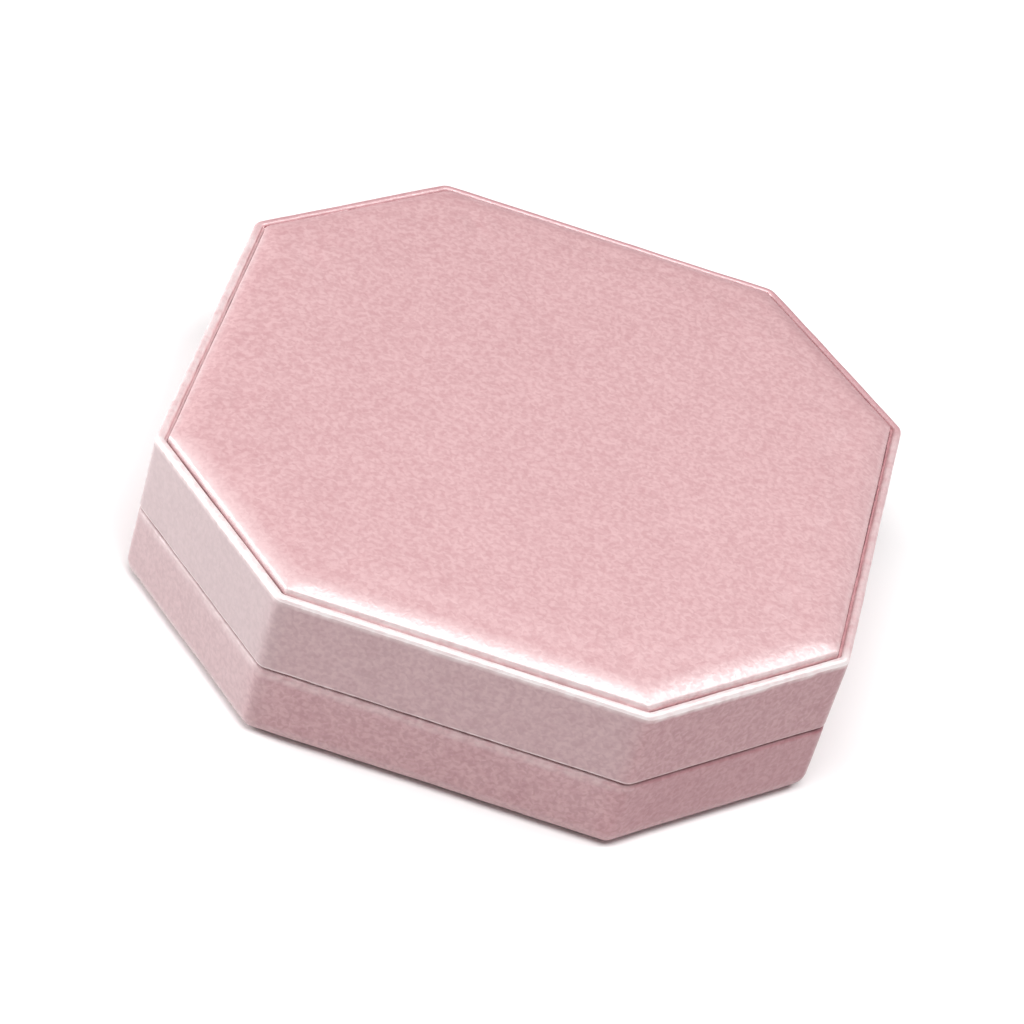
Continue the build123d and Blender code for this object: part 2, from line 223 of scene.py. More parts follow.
def fill(outer, holes, spacing):
    """Even triangles between a loop and holes in it. The loops' own points come first."""
    margin = 0.7 * spacing
    smallest = 1e-3 * spacing**2
    weld = 1e-7
    loops = [[tuple(p[:2]) for p in loop] for loop in [outer, *holes]]
    edges, at = [], 0
    for loop in loops:
        edges += [(at + i, at + (i + 1) % len(loop)) for i in range(len(loop))]
        at += len(loop)
    grid = lattice(loops[0], spacing)
    grid = grid[inside(grid, loops[0]) & clear_of(grid, loops[0], margin)]
    for hole in loops[1:]:
        grid = grid[~inside(grid, hole) & clear_of(grid, hole, margin)]
    points = [Vector(p) for p in [*(p for loop in loops for p in loop), *grid.tolist()]]
    made, _, triangles, _, _, _ = geometry.delaunay_2d_cdt(points, edges, [], 0, weld)
    middles = np.array([(made[a] + made[b] + made[c]) / 3 for a, b, c in triangles])
    areas = np.array([abs((made[b] - made[a]).cross(made[c] - made[a])) for a, b, c in triangles])
    keep = inside(middles, loops[0]) & (areas > smallest)
    for hole in loops[1:]:
        keep &= ~inside(middles, hole)
    return [tuple(p) for p in made], [t for t, kept in zip(triangles, keep) if kept]


def sweep(profile, soften=0.0):
    """Loops of points for a profile of (inset, height), with corners that get rounder further in."""
    first = profile[0][0]
    return [[(p.x, p.y, z) for p in plan_loop(inset, soften * (inset - first))] for inset, z in profile]


def flat(loops):
    return [p for loop in loops for p in loop]


def per_point(values, loops):
    """One value for each point, from one value for each loop."""
    return [value for value, loop in zip(values, loops) for _ in loop]


def joined(parts):
    """The points of a profile's parts in a row, and how far each point is folded, which sets its painted
    highlight.
    """
    points = [p for part, _ in parts for p in part]
    folds = [fold for part, fold in parts for _ in part]
    return points, folds


def capped(name, loops, height, spacing=2.5 * MM, fold=None):
    """An open skin of loops whose last one is closed by an even triangle mesh at that height."""
    verts, faces = flat(loops), rings(loops)
    points, triangles = fill(loops[-1], [], spacing)
    size = len(loops[-1])
    shift = len(verts) - size
    faces += [tuple(shift + i for i in triangle) for triangle in triangles]
    verts += [(x, y, height) for x, y in points[size:]]
    folds = None
    if fold is not None:
        folds = per_point(fold, loops) + [0.0] * (len(points) - size)
    return new_object(name, verts, faces, folds)


def flip(obj):
    obj.data.flip_normals()
    return obj


def apply_modifiers(obj):
    evaluated = obj.evaluated_get(bpy.context.evaluated_depsgraph_get())
    mesh = bpy.data.meshes.new_from_object(evaluated)
    obj.modifiers.clear()
    obj.data = mesh


def thicken(obj, thickness):
    """Gives a skin its thickness, inwards, and closes it along its edges."""
    mesh = obj.data
    count = len(mesh.vertices)
    outside = positions(obj)
    normals = np.array([v.normal for v in mesh.vertices])
    points = np.concatenate([outside, outside - normals * thickness]).tolist()
    faces = [tuple(p.vertices) for p in mesh.polygons]
    used = {(a, b) for face in faces for a, b in zip(face, face[1:] + face[:1])}
    rims = [(a, b) for a, b in used if (b, a) not in used]
    faces += [tuple(count + i for i in reversed(face)) for face in faces]
    faces += [(b, a, count + a, count + b) for a, b in sorted(rims)]
    fold = np.zeros(count, np.float32)
    mesh.attributes["fold"].data.foreach_get("value", fold)
    thick = new_mesh(obj.name, points, faces, [*fold, *fold])
    obj.data = thick


def positions(obj):
    points = np.zeros(3 * len(obj.data.vertices), np.float32)
    obj.data.vertices.foreach_get("co", points)
    return points.reshape(-1, 3)


def set_positions(obj, points):
    obj.data.vertices.foreach_set("co", np.asarray(points, np.float32).ravel())
    obj.data.update()


def ripple(obj, height, size, seed):
    """Small uneven swellings, as glued cloth has."""
    normals = np.array([v.normal for v in obj.data.vertices])
    points = positions(obj)
    offset = Vector((seed, 7 * seed, 3 * seed))
    swell = np.array([noise.noise(Vector(p) / size + offset) for p in points.tolist()])
    set_positions(obj, points + normals * (height * swell)[:, None])


def bevel_back(obj, side):
    """Leans the back wall's parting edge away from the hinge axis, as the moulding under it does."""
    edge = LID_BOTTOM if side > 0 else BASE_TOP
    points = positions(obj)
    push = np.maximum(0, (points[:, 1] - BEVEL_APEX) * BEVEL_SLOPE - abs(edge - AXIS_Z))
    share = np.clip(side * (points[:, 2] - edge) / BEVEL_FADE, 0, 1)
    points[:, 2] += side * push * (1 - share * share * (3 - 2 * share))
    set_positions(obj, points)


def mark_lit_side(obj):
    """Notes at each point how far its edge of the box faces the lit side, for the velvet's painted sheen
    there and painted shade on the edges that face away.
    """
    points = positions(obj)
    turns = corners(0)
    depths, walls, panels = [], [], []
    for here, after in zip(turns, turns[1:] + turns[:1]):
        along = (after - here).normalized()
        outward = Vector((along.y, -along.x))
        depths.append(here.dot(outward) - points[:, :2] @ np.array(outward))
        walls.append(outward.dot(WALL_LIT_SIDE))
        panels.append(outward.dot(PANEL_LIT_SIDE))
    nearest = np.min(depths, axis=0)
    weights = np.exp((nearest - np.array(depths)) / TURNING)
    weights /= weights.sum(axis=0)
    share = np.clip(1 - nearest / MARGIN, 0, 1)
    on_top = points[:, 2] > RIM_TOP - RIM_RADIUS
    on_base = points[:, 2] < (BASE_TOP + LID_BOTTOM) / 2
    # the base is moved further towards the painted shade colour than the lid
    wall = np.array(walls) @ weights - BASE_EXTRA_SHADE * on_base
    facing = np.where(on_top, np.array(panels) @ weights, wall) * share
    layer = obj.data.attributes.new("nap", "FLOAT", "POINT")
    layer.data.foreach_set("value", facing.astype(np.float32))


def box_object(low, high):
    """A plain box used only to cut with."""
    low, high = Vector(low), Vector(high)
    matrix = Matrix.Translation((low + high) / 2) @ Matrix.Diagonal((*(high - low), 1))
    mesh = bpy.data.meshes.new("cutter")
    shape = bmesh.new()
    bmesh.ops.create_cube(shape, size=1, matrix=matrix)
    shape.to_mesh(mesh)
    shape.free()
    return bpy.data.objects.new("cutter", mesh)


def notch_hinges(obj):
    """Cuts the room for the two hinges through the back wall."""
    leaf_low, leaf_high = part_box("hinge_base_leaves")
    lid_leaf_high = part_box("hinge_lid_leaves")[1]
    room = 1.0 * MM  # around each hinge
    reach = 2.0 * MM  # past the wall, and above and below the axis
    width = 22.0 * MM  # of one hinge
    for x in (leaf_low.x, leaf_high.x - width):
        ends = (x - room, x + width + room)
        through = ((ends[0], leaf_low.y - room, AXIS_Z - reach), (ends[1], DEPTH, AXIS_Z + reach))
        patch = (
            (ends[0], leaf_low.y - reach, leaf_low.z - room),
            (ends[1], leaf_low.y + SKIN, lid_leaf_high.z + room),
        )
        for low, high in (through, patch):
            cutter = box_object(low, high)
            bpy.context.scene.collection.objects.link(cutter)
            cut = obj.modifiers.new("notch", "BOOLEAN")
            cut.operation = "DIFFERENCE"
            cut.solver = "EXACT"
            cut.object = cutter
            apply_modifiers(obj)
            bpy.data.objects.remove(cutter)


def inflate(obj, held, pressure, cap, shrink=0.0, frames=20, stiffness=15.0):
    """Cloth simulation under inner pressure. The points that held picks stay, and none moves past cap."""
    rest = positions(obj)
    group = obj.vertex_groups.new(name="held")
    group.add([v.index for v in obj.data.vertices if held(v.co)], 1.0, "ADD")
    cloth = obj.modifiers.new("cloth", "CLOTH")
    settings = cloth.settings
    settings.quality = 6
    settings.mass = 0.15
    settings.tension_stiffness = settings.compression_stiffness = stiffness
    settings.shear_stiffness = stiffness / 2
    settings.bending_stiffness = 0.05
    settings.air_damping = 2.0
    settings.use_pressure = True
    settings.uniform_pressure_force = pressure
    settings.shrink_min = shrink
    settings.vertex_group_mass = "held"
    settings.effector_weights.gravity = 0
    cloth.collision_settings.use_self_collision = False
    cloth.point_cache.frame_start = 1
    cloth.point_cache.frame_end = frames
    for step in range(1, frames + 1):
        bpy.context.scene.frame_set(step)
    apply_modifiers(obj)
    obj.vertex_groups.clear()
    moved = positions(obj) - rest
    far = np.linalg.norm(moved, axis=1)
    soft_cap = np.tanh(far / cap) * cap / np.maximum(far, 1e-9)
    set_positions(obj, rest + moved * soft_cap[:, None])
    bpy.context.scene.frame_set(1)


# ---- materials ----
def new_material(name):
    material = bpy.data.materials.new(name)
    material.use_nodes = True
    tree = material.node_tree
    tree.nodes.clear()
    shader = tree.nodes.new("ShaderNodeBsdfPrincipled")
    output = tree.nodes.new("ShaderNodeOutputMaterial")
    tree.links.new(shader.outputs["BSDF"], output.inputs["Surface"])
    return material, tree, shader


def place(tree, stretch=(1, 1, 1)):
    """Object coordinates, stretched."""
    coordinates = tree.nodes.new("ShaderNodeTexCoord")
    mapping = tree.nodes.new("ShaderNodeMapping")
    mapping.inputs["Scale"].default_value = stretch
    tree.links.new(coordinates.outputs["Object"], mapping.inputs["Vector"])
    return mapping.outputs["Vector"]


def grain(tree, vector, size, detail, distortion=0.0):
    """Noise whose spots are about size wide, from 0 to 1."""
    node = tree.nodes.new("ShaderNodeTexNoise")
    node.inputs["Scale"].default_value = 1 / size
    node.inputs["Detail"].default_value = detail
    node.inputs["Roughness"].default_value = 0.5
    node.inputs["Distortion"].default_value = distortion
    tree.links.new(vector, node.inputs["Vector"])
    return node.outputs["Fac"]


def spread(tree, value, low, high, to_low=0.0, to_high=1.0):
    node = tree.nodes.new("ShaderNodeMapRange")
    node.inputs["From Min"].default_value = low
    node.inputs["From Max"].default_value = high
    node.inputs["To Min"].default_value = to_low
    node.inputs["To Max"].default_value = to_high
    tree.links.new(value, node.inputs["Value"])
    return node.outputs["Result"]


def calculate(tree, operation, first, second):
    node = tree.nodes.new("ShaderNodeMath")
    node.operation = operation
    for socket, value in zip(node.inputs, (first, second)):
        if isinstance(value, (int, float)):
            socket.default_value = value
        else:
            tree.links.new(value, socket)
    return node.outputs[0]


def blend_colours(tree, share, first, second):
    node = tree.nodes.new("ShaderNodeMix")
    node.data_type = "RGBA"
    sockets = {s.name: s for s in node.inputs if s.type == "RGBA"}
    for key, value in (("A", first), ("B", second)):
        if isinstance(value, tuple):
            sockets[key].default_value = (*value, 1)
        else:
            tree.links.new(value, sockets[key])
    factor = next(s for s in node.inputs if s.name == "Factor" and s.type == "VALUE")
    tree.links.new(share, factor)
    return next(s for s in node.outputs if s.type == "RGBA")


def bump(tree, shader, height, depth, under=None):
    node = tree.nodes.new("ShaderNodeBump")
    node.inputs["Distance"].default_value = depth
    node.inputs["Strength"].default_value = 1.0
    tree.links.new(height, node.inputs["Height"])
    if under is not None:
        tree.links.new(under, node.inputs["Normal"])
    tree.links.new(node.outputs["Normal"], shader.inputs["Normal"])
    return node.outputs["Normal"]


def attribute(tree, name):
    node = tree.nodes.new("ShaderNodeAttribute")
    node.attribute_name = name
    return node.outputs["Fac"]


def velvet(name, deep, pale, painted_sheen_colour, blush_and_painted_shade, fold_highlight, fold_highlight_from, sheen, gloss, relief):
    """Short cut pile between deep and pale, with random deeper blushes. A painted sheen makes it paler
    where its edge faces the lit side, painted shade deeper where it faces away, and a painted highlight, in
    lumps, lightens folded edges."""
    material, tree, shader = new_material(name)
    here = place(tree)
    mottle = grain(tree, here, 1.35 * MM, detail=0.8, distortion=0.6)
    blush = grain(tree, here, 3.2 * MM, detail=1)
    patches = grain(tree, here, 14 * MM, detail=2)
    fibres = grain(tree, here, 0.35 * MM, detail=1)
    lumps = grain(tree, here, 2.6 * MM, detail=1)
    tone = calculate(tree, "MULTIPLY", spread(tree, mottle, 0.35, 0.65), 0.7)
    tone = calculate(tree, "ADD", tone, calculate(tree, "MULTIPLY", patches, 0.3))
    colour = blend_colours(tree, tone, deep, pale)
    colour = blend_colours(tree, spread(tree, blush, 0.45, 0.7, 0, 0.2), colour, blush_and_painted_shade)
    # painted light: a paler sheen colour where the edge faces the lit side, painted shade where it faces
    # away
    nap = attribute(tree, "nap")
    colour = blend_colours(tree, spread(tree, nap, 0, 1, 0, PAINTED_LIGHT_SHARE), colour, painted_sheen_colour)
    colour = blend_colours(tree, spread(tree, nap, 0, -1, 0, PAINTED_LIGHT_SHARE), colour, blush_and_painted_shade)
    # painted highlight, in lumps, on folded edges, left off the edges that face away from the lit side
    fold = attribute(tree, "fold")
    edge = calculate(tree, "MULTIPLY", fold, spread(tree, nap, fold_highlight_from, fold_highlight_from + 0.7, 0, 1))
    edge = calculate(tree, "MULTIPLY", edge, spread(tree, lumps, 0.35, 0.6, 0.45, 1.0))
    colour = blend_colours(tree, edge, colour, fold_highlight)
    tree.links.new(colour, shader.inputs["Base Color"])
    tree.links.new(spread(tree, mottle, 0.3, 0.7, 0.54, 0.44), shader.inputs["Roughness"])
    shader.inputs["IOR"].default_value = gloss
    shader.inputs["Sheen Weight"].default_value = sheen
    shader.inputs["Sheen Roughness"].default_value = 0.35
    shader.inputs["Sheen Tint"].default_value = (1, 0.97, 0.96, 1)
    lay = bump(tree, shader, mottle, relief)
    bump(tree, shader, fibres, 0.2 * relief, under=lay)
    return material


def plain(name, dark, light, size, rough, depth, metallic=0.0):
    """A material with fine grain in colour, gloss and relief."""
    material, tree, shader = new_material(name)
    spots = grain(tree, place(tree), size, detail=3)
    tree.links.new(blend_colours(tree, spots, dark, light), shader.inputs["Base Color"])
    tree.links.new(spread(tree, spots, 0.3, 0.7, rough[0], rough[1]), shader.inputs["Roughness"])
    shader.inputs["Metallic"].default_value = metallic
    bump(tree, shader, spots, depth)
    return material


def satin(name):
    """Woven satin: fine warp lines that run along X, and a soft gloss."""
    material, tree, shader = new_material(name)
    warp = grain(tree, place(tree, (0.06, 1, 1)), 0.25 * MM, detail=1)
    cloud = grain(tree, place(tree), 22 * MM, detail=1)
    tone = calculate(tree, "MULTIPLY", calculate(tree, "ADD", warp, cloud), 0.5)
    colour = blend_colours(tree, tone, (0.70, 0.50, 0.48), (0.88, 0.72, 0.69))
    tree.links.new(colour, shader.inputs["Base Color"])
    tree.links.new(spread(tree, warp, 0.3, 0.7, 0.28, 0.42), shader.inputs["Roughness"])
    shader.inputs["Sheen Weight"].default_value = 0.25
    shader.inputs["Anisotropic"].default_value = 0.5
    bump(tree, shader, warp, 0.03 * MM)
    return material


# the top's velvet: painted sheen on the edges towards the front, painted shade on the far edges, painted
# highlight on folds
PANEL_VELVET = velvet(
    "panel_velvet",
    deep=(0.555, 0.275, 0.293),
    pale=(0.76, 0.46, 0.475),
    painted_sheen_colour=(0.80, 0.64, 0.645),
    blush_and_painted_shade=(0.46, 0.16, 0.19),
    fold_highlight=(0.84, 0.74, 0.74),
    fold_highlight_from=-0.35,
    sheen=0.1,
    gloss=3.0,
    relief=0.11 * MM,
)
# a darker copy of the top's velvet as painted shade on the walls, with a pale grey painted sheen on walls
# facing the left
WALL_VELVET_SHADED = velvet(
    "wall_velvet",
    deep=(0.37, 0.165, 0.182),
    pale=(0.52, 0.275, 0.292),
    painted_sheen_colour=(0.47, 0.41, 0.415),
    blush_and_painted_shade=(0.27, 0.055, 0.08),
    fold_highlight=(0.72, 0.60, 0.60),
    fold_highlight_from=-0.75,
    sheen=0.5,
    gloss=1.9,
    relief=0.08 * MM,
)
LINING_VELVET = velvet(
    "lining_velvet",
    deep=(0.45, 0.21, 0.225),
    pale=(0.62, 0.35, 0.365),
    painted_sheen_colour=(0.66, 0.46, 0.47),
    blush_and_painted_shade=(0.45, 0.21, 0.225),
    fold_highlight=(0.78, 0.62, 0.61),
    fold_highlight_from=-0.7,
    sheen=0.3,
    gloss=1.7,
    relief=0.12 * MM,
)
SATIN = satin("satin")
FELT = plain("felt", (0.30, 0.15, 0.165), (0.44, 0.24, 0.255), 0.5 * MM, (0.85, 1.0), 0.12 * MM)
FOAM = plain("foam", (0.72, 0.70, 0.62), (0.90, 0.88, 0.80), 0.8 * MM, (0.85, 1.0), 0.2 * MM)
MOULDING = plain("moulding", (0.66, 0.63, 0.58), (0.74, 0.71, 0.66), 0.6 * MM, (0.42, 0.55), 0.02 * MM)
BOARD = plain("greyboard", (0.25, 0.24, 0.22), (0.38, 0.36, 0.33), 0.4 * MM, (0.85, 0.95), 0.05 * MM)
BRASS = plain("brass", (0.68, 0.49, 0.20), (0.77, 0.57, 0.25), 1.8 * MM, (0.22, 0.34), 0.002 * MM, 1.0)
MAGNET = plain("magnet", (0.52, 0.52, 0.53), (0.66, 0.66, 0.67), 1.2 * MM, (0.15, 0.3), 0.004 * MM, 1.0)


def dress(obj, material):
    obj.data.materials.clear()
    obj.data.materials.append(material)


# ---- lid velvet: turned-in edge, wall, rim and the groove around the top panel ----
def rim_profile():
    """From inside the lid, around its parting edge, up the wall, over the rim and down into the groove."""
    bottom = LID_BOTTOM - SAG
    tuck = RIM_TOP - TUCK_DEPTH
    beside = inset_of(PANEL_LOW) - 0.1 * MM  # just outside the top panel
    turn = 0.4 * MM
    lip_end = SKIN_IN - LIP_RADIUS
    # each part's second number is how much painted highlight its fold gets
    parts = [
        (line((SKIN_IN, bottom + TURN_IN), (SKIN_IN, bottom + LIP_RADIUS), 1.5 * MM), 0.0),
        (bend((SKIN_IN, bottom + LIP_RADIUS), (SKIN_IN, bottom), (lip_end, bottom), 4)[:-1], 0.3),
        (line((lip_end, bottom), (LIP_RADIUS, bottom), 0.8 * MM), 0.2),
        (bend((LIP_RADIUS, bottom), (0, bottom), (0, bottom + LIP_RADIUS), 6)[:-1], 0.8),
        (line((0, bottom + LIP_RADIUS), (0, RIM_TOP - RIM_RADIUS), 1.4 * MM), 0.0),
        (bend((0, RIM_TOP - RIM_RADIUS), (0, RIM_TOP), (RIM_RADIUS, RIM_TOP), 7)[:-1], 1.0),
        (bend((RIM_RADIUS, RIM_TOP), (RIM_IN, RIM_TOP), (RIM_IN, RIM_TOP - RIM_INNER_RADIUS), 4)[:-1], 1.0),
        (line((RIM_IN, RIM_TOP - RIM_INNER_RADIUS), (RIM_IN, tuck + turn), 0.4 * MM), 0.2),
        (bend((RIM_IN, tuck + turn), (RIM_IN, tuck), (RIM_IN + turn, tuck), 4)[:-1], 0.0),
        (bend((RIM_IN + turn, tuck), (beside, tuck), (beside, tuck - turn), 4)[:-1], 0.0),
        (line((beside, tuck - turn), (beside, RECESS), 0.8 * MM), 0.0),
        (line((beside, RECESS), (GLUE_STRIP, RECESS), 2 * MM) + [(GLUE_STRIP, RECESS)], 0.0),
    ]
    return joined(parts)


def foot_profile():
    """From under the foot, up the wall, over the parting edge and down inside the base."""
    top = BASE_TOP + SAG
    end = (SKIN_IN, top - TURN_IN)
    # each part's second number is how much painted highlight its fold gets
    parts = [
        (line((GLUE_STRIP, 0), (FOOT_RADIUS, 0), 1.5 * MM), 0.0),
        (bend((FOOT_RADIUS, 0), (0, 0), (0, FOOT_RADIUS), 8)[:-1], 0.15),
        (line((0, FOOT_RADIUS), (0, top - LIP_RADIUS), 1.8 * MM), 0.0),
        (bend((0, top - LIP_RADIUS), (0, top), (LIP_RADIUS, top), 6)[:-1], 0.35),
        (line((LIP_RADIUS, top), (SKIN_IN - LIP_RADIUS, top), 0.8 * MM), 0.2),
        (bend((SKIN_IN - LIP_RADIUS, top), (SKIN_IN, top), (SKIN_IN, top - LIP_RADIUS), 4)[:-1], 0.3),
        (line((SKIN_IN, top - LIP_RADIUS), end, 1.5 * MM) + [end], 0.0),
    ]
    return joined(parts)


def wall_skin(name, profile, fold, side, seed):
    """The outer velvet of the lid, side 1, or the base, side -1, with painted sheen and painted shade on
    its walls. The rim takes the top's velvet.
    """
    loops = sweep(profile)
    obj = new_object(name, flat(loops), rings(loops), per_point(fold, loops))
    ripple(obj, height=0.10 * MM, size=9 * MM, seed=seed)
    ripple(obj, height=0.16 * MM, size=38 * MM, seed=seed + 5)
    bevel_back(obj, side)
    thicken(obj, SKIN)
    notch_hinges(obj)
    mark_lit_side(obj)
    dress(obj, WALL_VELVET_SHADED)
    obj.data.materials.append(PANEL_VELVET)
    rim_from = RIM_TOP - RIM_RADIUS - 0.2 * MM
    for polygon in obj.data.polygons:
        on_rim = polygon.center.z > rim_from
        polygon.material_index = 1 if on_rim else 0
    return obj


def length_of(points):
    return sum(math.dist(here, after) for here, after in zip(points, points[1:]))


def strip_size(profile):
    """Width and length of the strip of cloth that a profile takes around the box."""
    around = plan_loop(0)
    return length_of(profile), length_of(around + around[:1])


def make_lid_velvet():
    profile, fold = rim_profile()
    obj = wall_skin("lid_velvet", profile, fold, 1, 2)
    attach(obj, "lid")
    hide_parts("lid_cover")
    strip_size(profile)


def make_base_velvet():
    profile, fold = foot_profile()
    obj = wall_skin("base_velvet", profile, fold, -1, 11)
    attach(obj, "base")
    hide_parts("base_cover")
    strip_size(profile)


# ---- padded panel in the lid's top ----
def make_top_panel():
    inset = inset_of(PANEL_LOW)
    bottom, top = PANEL_LOW.z, PANEL_HIGH.z
    edge = RIM_TOP - 0.5 * MM  # where the straight side ends and the crown begins
    held_below = edge + 1.4 * MM
    turn = 0.4 * MM
    under = line((inset + GLUE_STRIP, bottom), (inset + turn, bottom), 2 * MM)
    side = bend((inset + turn, bottom), (inset, bottom), (inset, bottom + turn), 3)[:-1]
    side += line((inset, bottom + turn), (inset, edge), 0.6 * MM)
    crown = bend((inset, edge), (inset, top), (inset + SHOULDER, top), 14)
    loops = sweep(under + side) + sweep(crown, soften=3)
    fold = [0.0] * (len(under) + len(side))
    # painted highlight on the crown's outer steps, fading inwards
    highlight_steps = 6
    fold += [max(0.0, 1 - i / highlight_steps) for i in range(len(crown))]
    obj = capped("top_panel_velvet", loops, top, fold=fold)
    inflate(obj, lambda p: p.z < held_below, pressure=3.0, cap=0.35 * MM)
    ripple(obj, height=0.12 * MM, size=14 * MM, seed=21)
    thicken(obj, SKIN)
    mark_lit_side(obj)
    dress(obj, PANEL_VELVET)
    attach(obj, "lid")
    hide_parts("top_panel_cover", "top_panel_foam")


# ---- linings ----
def lining_band(name, low, high, open_up, body, node):
    """Velvet covered card around the inside of the walls, with a round edge at its open side."""
    outer = inset_of(low)
    inner = outer + LINING
    turn = LINING / 2
    foot, lip = (low.z, high.z) if open_up else (high.z, low.z)
    back = lip - turn if open_up else lip + turn
    profile = line((outer, foot), (outer, back), 2 * MM)
    profile += bend((outer, back), (outer, lip), (outer + turn, lip), 4)[:-1]
    profile += bend((outer + turn, lip), (inner, lip), (inner, back), 4)[:-1]
    profile += line((inner, back), (inner, foot), 2 * MM) + [(inner, foot)]
    # painted highlight along the round edge
    fold = [0.5 if abs(z - lip) < turn else 0.0 for _, z in profile]
    loops = sweep(profile)
    obj = new_object(name, flat(loops), rings(loops, closed=True), per_point(fold, loops))
    if not open_up:
        flip(obj)
    ripple(obj, height=0.06 * MM, size=12 * MM, seed=31)
    dress(obj, LINING_VELVET)
    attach(obj, body)
    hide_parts(node)


def make_satin_pad():
    inset = inset_of(PAD_LOW)
    top, bottom = PAD_HIGH.z, PAD_LOW.z
    puff = 4.2 * MM  # height of the pad's round edge
    held_above = top - 1.2 * MM
    side = line((inset, top), (inset, bottom + puff), 0.9 * MM)
    crown = bend((inset, bottom + puff), (inset, bottom), (inset + 2.4 * puff, bottom), 12)
    loops = sweep(side + crown)
    obj = flip(capped("lid_satin_pad", loops, bottom, spacing=2.2 * MM))
    inflate(obj, lambda p: p.z > held_above, pressure=4.0, cap=1.6 * MM, shrink=-0.06, stiffness=5.0)
    thicken(obj, 0.4 * MM)
    dress(obj, SATIN)
    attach(obj, "lid")
    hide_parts("lid_pad_cover", "lid_pad_foam")


# ---- padded insert ----
def slot_loop(grow, z, half_x, half_y, middle_y, steps=8):
    """A rectangle with round corners around the trough for the ring rolls, grown outwards by grow."""
    radius = 1.2 * MM + grow
    points = []
    for quarter, (sx, sy) in enumerate(((1, 1), (-1, 1), (-1, -1), (1, -1))):
        centre = (sx * (half_x + grow - radius), middle_y + sy * (half_y + grow - radius))
        for i in range(steps + 1):
            a = (quarter + i / steps) * math.pi / 2
            points.append((centre[0] + radius * math.cos(a), centre[1] + radius * math.sin(a), z))
    dense = []
    for here, after in zip(points, points[1:] + points[:1]):
        dense += line(here, after, 1.5 * MM)
    return dense


def hole_loop(x, y, radius, z, steps=16):
    """A circle at height z."""
    turns = [i / steps * 2 * math.pi for i in range(steps)]
    return [(x + radius * math.cos(a), y + radius * math.sin(a), z) for a in turns]


def make_insert():
    """Padded velvet with a trough for the ring rolls, and holes for the hooks and two earrings."""
    inset = inset_of(INSERT_LOW)
    bottom, top = INSERT_LOW.z, INSERT_HIGH.z
    turn = 2.4 * MM
    profile = line((inset, bottom), (inset, top - turn), 1.5 * MM)
    profile += bend((inset, top - turn), (inset, top), (inset + turn, top), 8)
    loops = sweep(profile)
    lip = 1.2 * MM
    half_x = (ROLLS_HIGH.x - ROLLS_LOW.x) / 2 + 0.5 * MM
    half_y = (ROLLS_HIGH.y - ROLLS_LOW.y) / 2 + 0.2 * MM
    middle_y = (ROLLS_LOW.y + ROLLS_HIGH.y) / 2
    walls = [[slot_loop(lip, top, half_x, half_y, middle_y)]]
    for grow, z in bend((lip, top), (0, top), (0, top - lip), 5)[1:]:
        walls[0].append(slot_loop(grow, z, half_x, half_y, middle_y))
    walls[0].append(slot_loop(0, ROLLS_LOW.z + 2 * MM, half_x, half_y, middle_y))
    hook_x = HOOKS_HIGH.x - 1.7 * MM
    hook_y = (HOOKS_LOW.y + HOOKS_HIGH.y) / 2
    hook_hole = 0.75 * MM
    earring_x, earring_y = 14 * MM, -18 * MM
    earring_hole = 0.8 * MM
    dimple_size, hole_depth = 0.9 * MM, 3 * MM
    dimple = bend((dimple_size, top), (0, top), (0, top - dimple_size), 4)
    for x, y, radius in (
        (hook_x, hook_y, hook_hole),
        (-hook_x, hook_y, hook_hole),
        (earring_x, earring_y, earring_hole),
        (-earring_x, earring_y, earring_hole),
    ):
        walls.append([hole_loop(x, y, radius + grow, z) for grow, z in dimple])
        walls[-1].append(hole_loop(x, y, radius, top - hole_depth))
    size = len(loops[-1])
    points, triangles = fill(loops[-1], [wall[0] for wall in walls], 2.2 * MM)
    verts, faces = flat(loops), rings(loops)
    shift = len(verts) - size
    faces += [tuple(shift + i for i in triangle) for triangle in triangles]
    verts += [(x, y, top) for x, y in points[size:]]
    # no painted highlight on the top, a little on the walls of the trough and the holes
    fold = [0.0] * len(verts)
    at = shift + size
    for wall in walls:
        count = len(wall[0])
        first = list(range(at, at + count))
        for loop in wall[1:]:
            second = list(range(len(verts), len(verts) + count))
            verts += loop
            fold += [0.25] * count
            for j in range(count):
                after = (j + 1) % count
                faces.append((first[j], first[after], second[after], second[j]))
            first = second
        at += count
    obj = new_object("insert_velvet", verts, faces, fold)
    ripple(obj, height=0.10 * MM, size=16 * MM, seed=41)
    thicken(obj, SKIN)
    dress(obj, LINING_VELVET)
    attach(obj, "base")
    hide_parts("insert_cover", "insert_foam")


